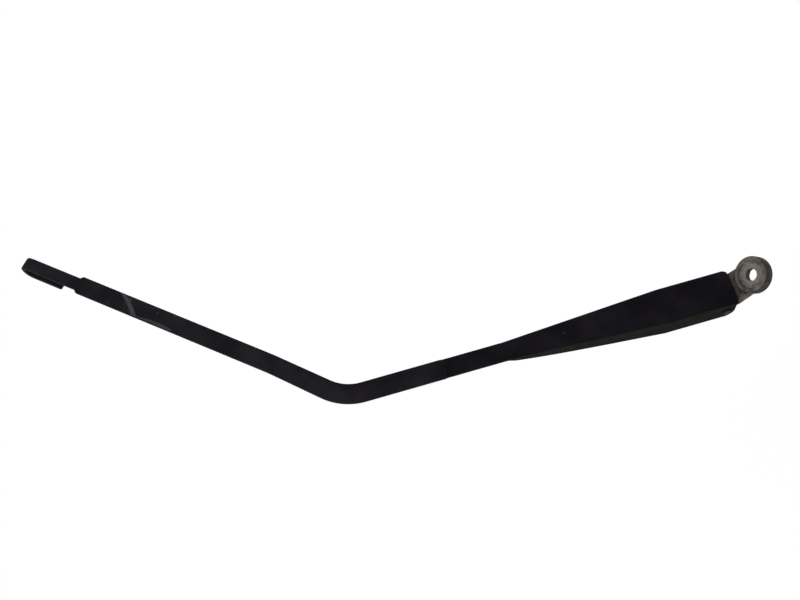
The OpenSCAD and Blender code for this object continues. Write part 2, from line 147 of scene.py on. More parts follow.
paint = {"sheet": ("#141216", "#1d1b1f"), "rod": ("#1a181c", "#252327"), "dust": "#45433f", "steel": "#6f6a64",
         "scuff": "#3b3b3a", "cheekTint": "#171712", "gloss": (0.43, 0.56), "ior": 1.45, "shine": 0.01, "depthMm": 0.03,
         "grains": {"patch": (26, 4, 0.55), "speck": (0.9, 2, 0.4), "wear": (1.8, 5, 0.65), "sheen": (9, 4, 0.55),
                    "peel": (1.6, 2, 0.5), "streak": (2.5, 3, 0.55)}}


def paintedSteel(name, colours, smeared=False):
    # stoved black paint on pressed steel: satin, with orange peel, specks of dust, a greenish grey tone on the cheeks
    # and worn marks
    material, tree, shader, _, grains = newMaterial(name, paint["grains"])
    cheekTint, rubbed = [addNode(tree, "Attribute", output="Fac", attribute_name=key) for key in ("cheekTint", "wear")]
    patch = addNode(tree, "MapRange", (grains["patch"], 0.35, 0.68), **smooth)
    cheekTintLevel = addNode(tree, "MapRange", (patch, 0, 1, 0.5, 0.9), **smooth)
    cheekTintLevel = addNode(tree, "Math", (cheekTint, cheekTintLevel), operation="MULTIPLY")
    speck = addNode(tree, "MapRange", (grains["speck"], 0.74, 0.8, 0, 0.35), **smooth)
    worn = addNode(tree, "Math", (rubbed, grains["wear"]), operation="ADD")
    scuffed = addNode(tree, "MapRange", (worn, 0.92, 1.2), **smooth)
    bare = addNode(tree, "MapRange", (worn, 1.3, 1.42), **smooth)
    layers = [(patch, colours[1]), (cheekTintLevel, paint["cheekTint"]), (speck, paint["dust"]), (scuffed, paint["scuff"]),
              (bare, paint["steel"])]
    if smeared:
        layers.insert(4, (rodSmears(tree, grains["streak"]), smears["colour"]))
    base = colours[0]
    for share, colour in layers:
        base = addNode(tree, "Mix", {0: share, 6: base, 7: colour}, 2, **coloured)
    rough = addNode(tree, "MapRange", (grains["sheen"], 0.3, 0.7, *paint["gloss"]), **smooth)
    finishMaterial(tree, shader, base, rough, grains["peel"], paint["depthMm"], 0.5)
    shader.inputs["IOR"].default_value = paint["ior"]
    shader.inputs["Specular IOR Level"].default_value = paint["shine"]
    return material


cast = {"skin": "#484440", "grimeAndShade": "#262320", "pale": "#6b655f", "rust": "#5b443c", "cut": "#7e7871",
        "cutDark": "#5a554f", "cool": "#4d5254", "metallic": 0.1, "shine": 0.12, "gloss": (0.66, 0.48),
        "ringMm": 0.85, "washer": (4.6, 7.3), "pit": (-9.2, -0.3, 0.2), "pitR": (1.1, 0.5), "coolX": (-2, -10),
        "stainY": (-5, -12), "depthMm": 0.12,
        "grains": {"blotch": (5.5, 5, 0.62), "grain": (0.55, 3, 0.6), "wobble": (7, 2, 0.55),
                   "stain": (4.5, 4, 0.6)}}


def weatheredZinc():
    # zinc alloy as die cast: dark, dull skin with casting grain, grime in patches and a little rust stain, painted
    # shade with some grime in the seat's corner and round the boss's foot, and paler where the rim and the nut seat
    # were turned, with rings from the tool and a rubbed band from the nut's washer
    material, tree, shader, place, grains = newMaterial("dieCastZincWeathered", cast["grains"])
    blotch, grain = grains["blotch"], grains["grain"]
    cut, shadeAndGrime = [addNode(tree, "Attribute", output="Fac", attribute_name=key) for key in ("turned", "shadeAndGrime")]
    flat = addNode(tree, "VectorMath", (place, (1 / mm, 1 / mm, 0)), operation="MULTIPLY")
    radius = addNode(tree, "VectorMath", (flat,), "Value", operation="LENGTH")
    wobble = addNode(tree, "Math", (grains["wobble"], 0.5, radius), operation="MULTIPLY_ADD")
    rings = addNode(tree, "Math", (wobble, 2 * math.pi / cast["ringMm"]), operation="MULTIPLY")
    rings = addNode(tree, "Math", (rings,), operation="SINE")
    inner, outer = cast["washer"]
    washer = addNode(tree, "MapRange", (wobble, inner, inner + 0.5), **smooth)
    fading = addNode(tree, "MapRange", (wobble, outer + 0.7, outer, 0, 0.5), **smooth)
    washer = addNode(tree, "Math", (washer, fading), operation="MULTIPLY")
    bright = addNode(tree, "MapRange", (blotch, 0.4, 0.6), **smooth)
    groove = addNode(tree, "MapRange", (rings, 0.1, 1, 0, 0.3), **smooth)
    turnedMetal = cast["cutDark"]
    for share, colour in ((bright, cast["cut"]), (groove, cast["cutDark"]), (washer, cast["cut"])):
        turnedMetal = addNode(tree, "Mix", {0: share, 6: turnedMetal, 7: colour}, 2, **coloured)
    skin = addNode(tree, "MapRange", (blotch, 0.36, 0.62), **smooth)
    pale = addNode(tree, "MapRange", (grain, 0.5, 0.8, 0, 0.5), **smooth)
    x, y, _ = addNode(tree, "SeparateXYZ", (place,)).node.outputs
    cool = addNode(tree, "MapRange", (x, *(edge * mm for edge in cast["coolX"])), **smooth)
    for level in (addNode(tree, "MapRange", (blotch, 0.4, 0.6, 0.45, 0.85), **smooth), cut):
        cool = addNode(tree, "Math", (cool, level), operation="MULTIPLY")
    nearSide = addNode(tree, "MapRange", (y, *(edge * mm for edge in cast["stainY"]), 0, 0.08), **smooth)
    stain = addNode(tree, "Math", (grains["stain"], nearSide), operation="ADD")
    stain = addNode(tree, "MapRange", (stain, 0.5, 0.68, 0, 0.5), **smooth)
    # painted shade with some grime, in patches: the seat's corner, the boss's side and the neck round its foot
    patchy = addNode(tree, "MapRange", (blotch, 0.35, 0.6, 1, 0.5), **smooth)
    shadedAndGrimy = addNode(tree, "Math", (shadeAndGrime, patchy), operation="MULTIPLY")
    pitAt = tuple(v * mm for v in cast["pit"])
    toPit = addNode(tree, "VectorMath", (place, pitAt), "Value", operation="DISTANCE")
    pit = addNode(tree, "MapRange", (toPit, *(r * mm for r in cast["pitR"]), 0, 0.8), **smooth)
    base = cast["grimeAndShade"]
    for share, colour in ((skin, cast["skin"]), (pale, cast["pale"]), (cut, turnedMetal), (cool, cast["cool"]),
                          (stain, cast["rust"]), (shadedAndGrimy, cast["grimeAndShade"]), (pit, cast["grimeAndShade"])):
        base = addNode(tree, "Mix", {0: share, 6: base, 7: colour}, 2, **coloured)
    rough = addNode(tree, "MapRange", (blotch, 0.3, 0.7, *cast["gloss"]), **smooth)
    ringed = addNode(tree, "Math", (rings, cut), operation="MULTIPLY")
    relief = addNode(tree, "Math", (blotch, 1.5, grain), operation="MULTIPLY_ADD")
    relief = addNode(tree, "Math", (ringed, 0.5, relief), operation="MULTIPLY_ADD")
    finishMaterial(tree, shader, base, rough, relief, cast["depthMm"], 0.6)
    shader.inputs["Metallic"].default_value = cast["metallic"]
    shader.inputs["Specular IOR Level"].default_value = cast["shine"]
    return material


def bareSteel(name, colour, dark, gloss, grainMm=1.2):  # drawn or stamped steel, dulled by handling and road salt
    grains = {"spots": (grainMm, 4, 0.6), "relief": (0.6, 2, 0.55)}
    material, tree, shader, _, grains = newMaterial(name, grains)
    spots = addNode(tree, "MapRange", (grains["spots"], 0.38, 0.74), **smooth)
    base = addNode(tree, "Mix", {0: spots, 6: colour, 7: dark}, 2, **coloured)
    rough = addNode(tree, "MapRange", (spots, 0, 1, gloss, gloss + 0.2), **smooth)
    finishMaterial(tree, shader, base, rough, grains["relief"], 0.02, 0.5)
    shader.inputs["Metallic"].default_value = 0.85
    return material


def agedNylon():  # moulded natural nylon: cream, a little waxy, yellowed
    material, tree, shader, _, grains = newMaterial("mouldedNaturalNylon", {"cloud": (3, 3, 0.55)})
    base = addNode(tree, "Mix", {0: grains["cloud"], 6: "#b9b09c", 7: "#cfc8b6"}, 2, **coloured)
    tree.links.new(base, shader.inputs["Base Color"])
    for socket, value in (("Roughness", 0.45), ("Subsurface Weight", 0.1), ("Subsurface Scale", mm)):
        shader.inputs[socket].default_value = value
    return material


paintMaterial = paintedSteel("satinBlackPaintOnSteel", paint["sheet"])
rodMaterial = paintedSteel("satinBlackPaintOnSteelSmeared", paint["rod"], True)
zincMaterial = weatheredZinc()
pinMaterial = bareSteel("drawnSteelPin", "#8d8983", "#5b554e", 0.38)
linkMaterial = bareSteel("stampedSteelZincPlated", "#a09c8f", "#746e60", 0.42)
springMaterial = bareSteel("drawnSpringWireOiled", "#7a766e", "#5b5348", 0.33, 0.8)
nylonMaterial = agedNylon()
print("materials made")


def gridFaces(rows, cols, around=True, closeRows=False):  # quads between neighbouring rows of a grid
    i = np.arange(rows if closeRows else rows - 1)[:, None]
    j = np.arange(cols if around else cols - 1)[None, :]
    i2, j2 = (i + 1) % rows, (j + 1) % cols
    return np.stack([i * cols + j, i * cols + j2, i2 * cols + j2, i2 * cols + j], -1).reshape(-1, 4)


def ladderCap(n, first, flip):  # closes an outline of n points by rungs between point i and point n - 1 - i
    i = np.arange(n // 2 - 1)
    quads = first + np.stack([i, i + 1, n - 2 - i, n - 1 - i], -1)
    return quads if flip else quads[:, ::-1]


def addPiece(name, points, faces, body, slot, material, node=None, bevelMm=0, sharp=35, shares=None, weld=False):
    # faces is a list of arrays, each of quads or of triangles, which are all turned to face outwards; shares holds a
    # level for every point under each name that a material reads
    mesh = bpy.data.meshes.new(name)
    mesh.from_pydata((points * mm).tolist(), [], [face for part in faces for face in part.tolist()])
    for key, share in (shares or {}).items():
        mesh.attributes.new(key, "FLOAT", "POINT").data.foreach_set("value", share.astype(np.float32).ravel())
    shell = bmesh.new()
    shell.from_mesh(mesh)
    if weld:
        bmesh.ops.remove_doubles(shell, verts=shell.verts, dist=0.002 * mm)
    bmesh.ops.recalc_face_normals(shell, faces=shell.faces)
    shell.to_mesh(mesh)
    shell.free()
    mesh.shade_smooth()
    mesh.set_sharp_from_angle(angle=math.radians(sharp))
    piece = bpy.data.objects.new(name, mesh)
    bpy.context.scene.collection.objects.link(piece)
    mesh.materials.append(material)
    if bevelMm:
        bevel = piece.modifiers.new("softEdges", "BEVEL")
        bevel.width, bevel.segments, bevel.limit_method = bevelMm * mm, 2, "ANGLE"
        bevel.angle_limit, bevel.harden_normals = math.radians(sharp), True
    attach(piece, body)
    if node:
        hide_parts(node)
    return piece


def sweep(name, sections, body, slot, material, node, **more):  # rows of outlines, closed around and at both ends
    rows, cols = sections.shape[:2]
    faces = [gridFaces(rows, cols), ladderCap(cols, 0, False), ladderCap(cols, (rows - 1) * cols, True)]
    return addPiece(name, sections.reshape(-1, 3), faces, body, slot, material, node, **more)


def lathe(profile, steps=72):  # closed profile of radius and height, turned about Z: (r cos a, r sin a, h)
    turn = np.linspace(0, 2 * math.pi, steps, endpoint=False)[:, None]
    r, h = profile[:, 0][None], profile[:, 1][None]
    return np.stack([r * np.cos(turn), r * np.sin(turn), h + 0 * turn], -1)


def roundedProfile(corners, radius, steps=5):
    # each corner of a closed outline becomes an arc drawn as a quadratic curve between points a radius away from it
    corners = np.asarray(corners, float)
    before, after = np.roll(corners, 1, 0) - corners, np.roll(corners, -1, 0) - corners
    reach = np.minimum(radius, 0.45 * np.minimum(np.linalg.norm(before, axis=1), np.linalg.norm(after, axis=1)))
    start = corners + before / np.linalg.norm(before, axis=1)[:, None] * reach[:, None]
    end = corners + after / np.linalg.norm(after, axis=1)[:, None] * reach[:, None]
    t = np.linspace(0, 1, steps)[None, :, None]
    arcs = (1 - t) ** 2 * start[:, None] + 2 * t * (1 - t) * corners[:, None] + t * t * end[:, None]
    return arcs.reshape(-1, 2)


def turned(name, corners, radius, body, slot, material, node, place, wear=None):
    # a lathe-turned piece: rounded closed profile spun about Z, then put in place; a profile whose first and last
    # corners lie on the axis is closed there by fans of triangles
    profile, solid = roundedProfile(corners, radius), corners[0][0] == 0
    rings = lathe(profile[5:-5] if solid else profile)
    steps, cols = rings.shape[:2]
    points = rings.reshape(-1, 3)
    faces = [gridFaces(steps, cols, around=not solid, closeRows=True)]
    if solid:
        i, count = np.arange(steps), len(points)
        points = np.concatenate([points, [(0, 0, corners[0][1]), (0, 0, corners[-1][1])]])
        last = cols - 1
        faces += [np.stack([i * cols, (i + 1) % steps * cols, 0 * i + count], -1)[:, ::-1],
                  np.stack([i * cols + last, (i + 1) % steps * cols + last, 0 * i + count + 1], -1)]
    shares = {"wear": wear(points)} if wear else None
    return addPiece(name, place(points), faces, body, slot, material, node, shares=shares)


channel = {"width": 27, "height": 19.5, "sheet": 1.2, "flareDeg": 3, "overhang": 7, "parallel": 47, "taper": 119,
           "sleeve": 45.6, "foldR": 2.2, "sleeveW": 13.6, "sleeveH": 6.4, "pinDepth": 12, "evenShare": 0.55,
           "cornerR": 8, "cheekSet": 1, "farCornerL": 3.4, "farCornerW": 2.5, "notch": 10, "seam": 1.6,
           "fadeEnd": -14, "edge": 0.22}
channelWear = {"cheekAt": (0.5, -3.5), "cheekSpread": 22, "cheek": 0.8, "end": 0.32, "endMm": 0.6, "sleeve": 0.55,
               "sleeveMm": 0.7, "topAt": -48.2, "topSpread": (3, 2), "top": 0.42}


def spaced(stops, counts):  # a row of numbers through the stops, with so many from each stop to the next
    parts = [np.linspace(a, b, n)[1:] for a, b, n in zip(stops, stops[1:], counts)]
    return np.concatenate([stops[:1], *parts])


def channelHalf(x, t, closing, tip):
    # one half of the sheet's outer (t = 0) or inner (t = sheet) face: flange, lower fold, cheek, upper fold, top
    s = np.clip((-channel["parallel"] - x) / channel["taper"], 0, 1)
    depth = channel["height"] - (channel["height"] - channel["sleeveH"]) * (
        channel["evenShare"] * s + (1 - channel["evenShare"]) * s ** 4)
    half = channel["width"] / 2 + (channel["sleeveW"] - channel["width"]) / 2 * s
    out = half + math.tan(math.radians(channel["flareDeg"])) * (1 - s) * depth
    low = -depth + closing * t
    lowR = 0.3 + (channel["foldR"] - 0.3) * closing if t == 0 else (channel["foldR"] - channel["sheet"]) * closing
    topR = channel["foldR"] - t
    quarter = np.radians(np.linspace(0, 90, 9))
    lowArc = [out - t - lowR + lowR * np.sin(quarter[::2]), low + lowR - lowR * np.cos(quarter[::2])]
    topArc = [half - channel["foldR"] + topR * np.cos(quarter), -channel["foldR"] + topR * np.sin(quarter) + 0 * x]
    along = np.linspace(0, 1, 32)[1:-1]
    flange = [tip + (lowArc[0][:, :1] - tip) * np.linspace(0, 1, 5)[:-1], low + 0 * np.linspace(0, 1, 5)[:-1]]
    cheek = [lowArc[i][:, -1:] + (topArc[i][:, :1] - lowArc[i][:, -1:]) * along for i in (0, 1)]
    top = [topArc[0][:, -1:] * (1 - np.linspace(0, 1, 9)[1:]), topArc[1][:, -1:] + 0 * np.linspace(0, 1, 9)[1:]]
    y, z = [np.concatenate([flange[i], lowArc[i], cheek[i], topArc[i], top[i]], 1) for i in (0, 1)]
    return np.stack([y, z], -1), out


def channelEnd(y, z):
    # where the open end stops: cheeks set back with a rounded lower corner, top square with its far corner cut off
    reach = channel["overhang"] - channel["cheekSet"]
    below = np.clip(channel["cornerR"] - channel["height"] - z, 0, channel["cornerR"])
    x = reach - channel["cornerR"] + np.sqrt(channel["cornerR"] ** 2 - below ** 2)
    x = x + (channel["overhang"] - reach) * smoothStep(-channel["foldR"] - 1.5, -0.3, z)
    cornerY = channel["width"] / 2 - channel["farCornerW"]
    cutOff = channel["farCornerL"] * np.clip((y - cornerY) / channel["farCornerW"], 0, 1)
    cutOff = cutOff * smoothStep(-channel["foldR"] - 4, -channel["foldR"] + 0.6, z)
    return np.minimum(x, channel["overhang"] - cutOff)


def makeChannel():
    # the sheet's outline carried along X; the flanges under the rod grow from nothing over the notch
    sleeveX = -channel["parallel"] - channel["taper"]
    stops = [channel["overhang"], channel["fadeEnd"], -channel["parallel"], sleeveX + 8, sleeveX - 12,
             sleeveX - channel["sleeve"]]
    x = spaced(stops, (36, 12, 50, 32, 14))[:, None]
    closing = smoothStep(0, 7, sleeveX + 7 - x)
    _, out = channelHalf(x, 0, closing, 0 * x)
    folded = np.clip((sleeveX - x) / channel["notch"], 0, 1)
    tip = out - channel["sheet"] - closing * (channel["foldR"] - channel["sheet"])
    tip = tip + (channel["seam"] / 2 - tip) * folded
    faces = [channelHalf(x, t, closing, tip)[0] for t in (0, channel["sheet"])]
    whole = [np.concatenate([h, h[:, -2::-1] * (-1, 1)], 1) for h in faces]
    loop = np.concatenate([whole[0], whole[1][:, ::-1]], 1)
    endX = channelEnd(loop[:1, :, 0], loop[:1, :, 1])
    fade = np.clip((x - channel["fadeEnd"]) / (channel["overhang"] - channel["fadeEnd"]), 0, 1)
    placed = x + (endX - channel["overhang"]) * fade
    points = np.stack([placed, loop[..., 0], loop[..., 1] + channel["pinDepth"]], -1)
    px, py, pz = points[..., 0], points[..., 1], points[..., 2]
    nearCheek = smoothStep(-9, -12, py)
    cheekX, cheekZ = channelWear["cheekAt"]
    fromSpot = ((px - cheekX) ** 2 + (pz - cheekZ) ** 2) / channelWear["cheekSpread"]
    wear = channelWear["cheek"] * nearCheek * np.exp(-fromSpot)
    openEnd = np.exp((placed - placed[:1]) / channelWear["endMm"]) * (x > -10)
    sleeveTip = np.exp((x[-1] - x) / channelWear["sleeveMm"])
    spreadX, spreadY = channelWear["topSpread"]
    topSpot = np.exp(-((px - channelWear["topAt"]) / spreadX) ** 2 - (py / spreadY) ** 2)
    topSpot = topSpot * smoothStep(-1.5, -0.5, loop[..., 1])
    for level, mark in (("end", openEnd), ("sleeve", sleeveTip), ("top", topSpot)):
        wear = np.maximum(wear, channelWear[level] * mark)
    # a greenish grey tone on the cheeks and the sheet below the top
    cheekTint = smoothStep(-1, -2.4, loop[..., 1])
    sweep("armChannel", inRow(points), "arm", "black_paint", paintMaterial, "arm_channel",
          bevelMm=channel["edge"], shares={"wear": wear, "cheekTint": cheekTint}, weld=True)


makeChannel()
print("channel made")

rod = {"width": 13.6, "rootW": 14.3, "thick": 4, "edge": 1, "tang": 11.2, "tangStart": -111.899, "straight": 59.3,
       "kneeR": 37, "kneeDeg": 42.6, "middle": 39, "droopR": 60, "droopDeg": 8, "outer": 160, "hookW": 9.6,
       "hookL": 45.2, "gap": 8.2, "returnL": 25.5, "shoulder": 2.6, "step": 0.15, "tipL": 1.25, "tipIn": (1.6, 1.2),
       "tipThin": (1.0, 0.8), "edgeWear": 0.22, "hookEdgeWear": 0.13, "hookWear": 0.1}
rodZ = channel["pinDepth"] - channel["sheet"] - rod["thick"] / 2
sleeveEnd = -channel["parallel"] - channel["taper"] - channel["sleeve"]


def rodPath():
    # distances at which the rod changes, and its turning: sideways in the knee, downwards in the droop and the hook
    arcs = [sleeveEnd - rod["straight"], math.radians(rod["kneeDeg"]) * rod["kneeR"],
            math.radians(rod["droopDeg"]) * rod["droopR"], math.pi * (rod["gap"] + rod["thick"]) / 2]
    start = rod["tangStart"]
    kneeAt = start - arcs[0]
    droopAt = kneeAt + arcs[1] + rod["middle"]
    hookAt = droopAt + arcs[2] + rod["outer"] + rod["hookL"]
    end = hookAt + arcs[3] + rod["returnL"]
    shoulderAt = hookAt - rod["hookL"]
    stops = [start - sleeveEnd + rod["step"], kneeAt, kneeAt + arcs[1], droopAt, droopAt + arcs[2], shoulderAt,
             shoulderAt + rod["shoulder"], hookAt, hookAt + arcs[3], end - rod["tipL"]]
    s = np.concatenate([spaced([0, 5.5, start - sleeveEnd], (12, 30)),
                        spaced(stops, (30, 49, 20, 17, 160, 9, 40, 41, 25)),
                        end - rod["tipL"] * (1 - np.sin(np.linspace(0, math.pi / 2, 8)[1:]))])
    droop = math.radians(rod["droopDeg"])
    yaw = np.interp(s, [kneeAt, kneeAt + arcs[1]], [0, math.radians(rod["kneeDeg"])])
    pitch = np.interp(s, [droopAt, droopAt + arcs[2], hookAt, hookAt + arcs[3]], [0, droop, droop, droop + math.pi])
    return s, yaw, pitch, hookAt


def rodFrame(yaw, pitch):
    # forward, sideways and up vectors after the turn about Z by -yaw and then about the turned Y by -pitch
    cy, sy, cp, sp = np.cos(yaw), np.sin(yaw), np.cos(pitch), np.sin(pitch)
    forward = np.stack([-cp * cy, cp * sy, -sp], -1)
    side = np.stack([sy, cy, 0 * cy], -1)
    up = np.stack([-sp * cy, sp * sy, cp], -1)
    return forward, side, up


def makeRod():
    # a flat section with round edges, set on frames whose positions add up the chords of each short step
    s, yaw, pitch, hookAt = rodPath()
    midForward = rodFrame((yaw[1:] + yaw[:-1]) / 2, (pitch[1:] + pitch[:-1]) / 2)[0]
    ds = np.diff(s)
    bend = np.abs(np.diff(yaw)) + np.abs(np.diff(pitch))
    chord = ds * np.sinc(bend / (2 * math.pi))
    centre = np.concatenate([np.zeros((1, 3)), np.cumsum(midForward * chord[:, None], 0)])
    centre = centre + (rod["tangStart"], 0, rodZ)
    _, side, up = rodFrame(yaw, pitch)
    shoulderAt = hookAt - rod["hookL"]
    tangEnd = rod["tangStart"] - sleeveEnd
    kneeEnd = tangEnd + rod["straight"] + math.radians(rod["kneeDeg"]) * rod["kneeR"]
    width = np.interp(s, [tangEnd, tangEnd + rod["step"], kneeEnd, kneeEnd + rod["middle"]],
                      [rod["tang"], rod["rootW"], rod["rootW"], rod["width"]])
    width = width + (rod["hookW"] - rod["width"]) * smoothStep(shoulderAt, shoulderAt + rod["shoulder"], s)
    tangR = rod["tang"] / 2
    width = np.where(s < tangR, 2 * np.sqrt(np.clip(tangR ** 2 - (tangR - s - 0.12) ** 2, 0, None)), width)
    tail = s[-1] - s
    narrower, thinner = [loss * (1 - np.sqrt(1 - np.clip(1 - tail / reach, 0, 1) ** 2))
                         for loss, reach in (rod["tipIn"], rod["tipThin"])]
    width, thick = width - narrower, rod["thick"] - thinner
    e = np.minimum(rod["edge"], 0.49 * np.minimum(width, thick))[:, None]
    quarter = np.radians(np.linspace(0, 90, 6))
    flat = np.linspace(1, -1, 15)[1:-1]
    y0, z0 = width[:, None] / 2 - e, thick[:, None] / 2 - e
    top = [np.concatenate([y0 + e * np.cos(quarter), y0 * flat, -y0 - e * np.sin(quarter)], 1),
           np.concatenate([z0 + e * np.sin(quarter), z0 + e + 0 * flat, z0 + e * np.cos(quarter)], 1)]
    y, z = np.concatenate([top[0], top[0][:, ::-1]], 1), np.concatenate([top[1], -top[1][:, ::-1]], 1)
    points = centre[:, None] + y[..., None] * side[:, None] + z[..., None] * up[:, None]
    edge = smoothStep(0.75, 1, np.abs(y) / (width[:, None] / 2)) * (np.abs(z) > 0.5)
    inHook = smoothStep(hookAt - 20, hookAt + 2, s)[:, None]
    wear = edge * (rod["edgeWear"] + rod["hookEdgeWear"] * inHook) + rod["hookWear"] * inHook
    upper = np.broadcast_to(z > thick[:, None] / 2 - 0.3, y.shape)
    piece = sweep("armRod", inRow(points), "arm", "black_paint", rodMaterial, "arm_rod", sharp=50,
                  shares={"wear": wear, "upper": upper})
    layer = piece.data.uv_layers.new(name="rodMm")
    along = np.broadcast_to((s - shoulderAt)[:, None], y.shape).ravel()
    corner = np.empty(len(piece.data.loops), np.int32)
    piece.data.loops.foreach_get("vertex_index", corner)
    across = (y * np.sign(z + 1e-9)).ravel()
    layer.data.foreach_set("uv", np.stack([along[corner], across[corner]], -1).astype(np.float32).ravel())


makeRod()
print("rod made")

hardware = {"pinD": 4.8, "headD": 6.8, "headT": 0.5, "linkPinD": 3.5, "linkPinL": 19.8, "reach": 9, "dip": 40,
            "pinWear": (0.44, 0.3)}
cheekLean = math.tan(math.radians(channel["flareDeg"]))
pinReach = channel["width"] / 2 + (channel["pinDepth"] + hardware["headD"] / 2) * cheekLean


def acrossArm(points, offset=(0, 0, 0)):  # turns a lathe's Z axis to -Y and places it in the arm's frame
    return inRow(points[:, [0, 2, 1]] * (1, -1, 1) + offset)


def acrossHead(centre):  # the same in the row frame, about a centre
    return lambda points: points[:, [0, 2, 1]] * (1, -1, 1) + centre


def makePins():
    r, h, t, reach = hardware["pinD"] / 2, hardware["headD"] / 2, hardware["headT"], pinReach
    half = [(0, reach + t), (h * 0.3, reach + t), (h * 0.42, reach + t * 0.78), (h * 0.8, reach + t * 0.72),
            (h, reach + t * 0.2), (h, reach), (r, reach - 0.02)]
    corners, (rubbed, more) = half + [(x, -y) for x, y in half[::-1]], hardware["pinWear"]
    turned("hingePin", corners, 0.5, "arm", "black_paint", paintMaterial, "hinge_pin", acrossArm,
           wear=lambda p: rubbed + more * smoothStep(h, h * 0.6, np.hypot(p[:, 0], p[:, 1])))
    dip = math.radians(hardware["dip"])
    centre = hingePoint + np.array([hardware["reach"] * math.cos(dip), 0, -hardware["reach"] * math.sin(dip)])
    r, l = hardware["linkPinD"] / 2, hardware["linkPinL"] / 2
    turned("linkPin", [(0, l), (r, l), (r, -l), (0, -l)], 0.4, "head", "pin_steel", pinMaterial, "link_pin",
           acrossHead(centre))


rivet = {"d": 5, "headD": 6.4, "headT": 0.6, "share": 0.621, "gap": 0.2, "flange": 0.8, "wire": 2.2, "wear": 0.56}
rivetX = -channel["parallel"] - channel["taper"] * rivet["share"]
postZ = rodZ - rod["thick"] / 2 - rivet["gap"] - rivet["wire"] / 2


def makeRivet():
    r, head, top = rivet["d"] / 2, rivet["headD"] / 2, channel["pinDepth"]
    dome, gap, under = rivet["headT"], rivet["gap"], rodZ - rod["thick"] / 2
    low = postZ - rivet["wire"] / 2 - gap
    corners = [(0, top + dome), (head * 0.55, top + dome * 0.93), (head * 0.96, top + dome * 0.3), (head, top),
               (r, top - 0.1), (r, under), (r - gap, under), (r - gap, low), (head, low - gap),
               (head, low - rivet["flange"]), (0, low - rivet["flange"])]
    # the paint is worn on the dome's top, and the worn spot is set 1 mm towards the hook, on the side the light falls
    # on, as a painted highlight
    turned("rodRivet", corners, 0.35, "arm", "black_paint", paintMaterial, "rod_rivet",
           lambda points: inRow(points + (rivetX, 0, 0)),
           wear=lambda p: rivet["wear"] * smoothStep(2, 0.8, np.hypot(p[:, 0] + 1, p[:, 1])) * (p[:, 2] > top))


head = {"rimR": 13.4, "rimTop": 1.2, "rimEdge": 1.35, "capH": 6, "noseR": 10.6, "noseZ": -11.8, "neckHalf": 10.4,
        "neckTop": -0.6, "neckT": 6, "lugR": 5.6, "linkR": 4, "seatR": 10.1, "studR": 4.4, "studL": 5.1, "mouthR": 8,
        "throatR": 7.3, "slotHalf": 2, "pocketHalf": 6.8, "pinHoleR": 3.62, "step": 0.3}
bush = {"d": 7.2, "bore": 4.9, "flangeD": 10.4, "length": 7.9, "play": 0.35}


def makeBushes():
    lean = (channel["pinDepth"] - bush["flangeD"] / 2) * cheekLean
    flange = channel["width"] / 2 - channel["sheet"] + lean - head["neckHalf"] - bush["play"]
    for name, node, side in (("hingeBushFar", "hinge_bush_far", 1), ("hingeBushNear", "hinge_bush_near", -1)):
        corners = [(bush["bore"] / 2, -bush["length"]), (bush["bore"] / 2, flange), (bush["flangeD"] / 2, flange),
                   (bush["flangeD"] / 2, 0), (bush["d"] / 2, 0), (bush["d"] / 2, -bush["length"])]
        place = acrossHead(hingePoint + np.array([0, side * head["neckHalf"], 0]))
        turned(name, [(r, -side * h) for r, h in corners], 0.3, "head", "nylon", nylonMaterial, node, place)


makePins()
makeRivet()
makeBushes()
print("pins, rivet and bushes made")

spring = {"wire": 2.2, "outer": 10, "pitch": 3, "loopR": 3.6, "past": 10, "turnSteps": 26, "sides": 10,
          "loopOpen": (60, 300), "linkGap": 0.5, "linkSheet": 1.6, "linkEye": 7.4, "keep": 0.978}


def springLine():
    # the link pin, the far post and the turn of the line between them, in the arm's frame
    dip = raised - math.radians(hardware["dip"])
    linkAt = np.array([hardware["reach"] * math.cos(dip), 0, hardware["reach"] * math.sin(dip)])
    postAt = np.array([rivetX, 0, postZ])
    run = np.linalg.norm(postAt - linkAt)
    ahead = (postAt - linkAt) / run
    side = np.array([0.0, 1.0, 0.0])
    return linkAt, ahead, side, np.cross(side, ahead), run


def bezier(a, b, c, d, t):  # cubic curve with end points a and d and handles b and c
    t = t[:, None]
    return a * (1 - t) ** 3 + 3 * b * t * (1 - t) ** 2 + 3 * c * t * t * (1 - t) + d * t ** 3


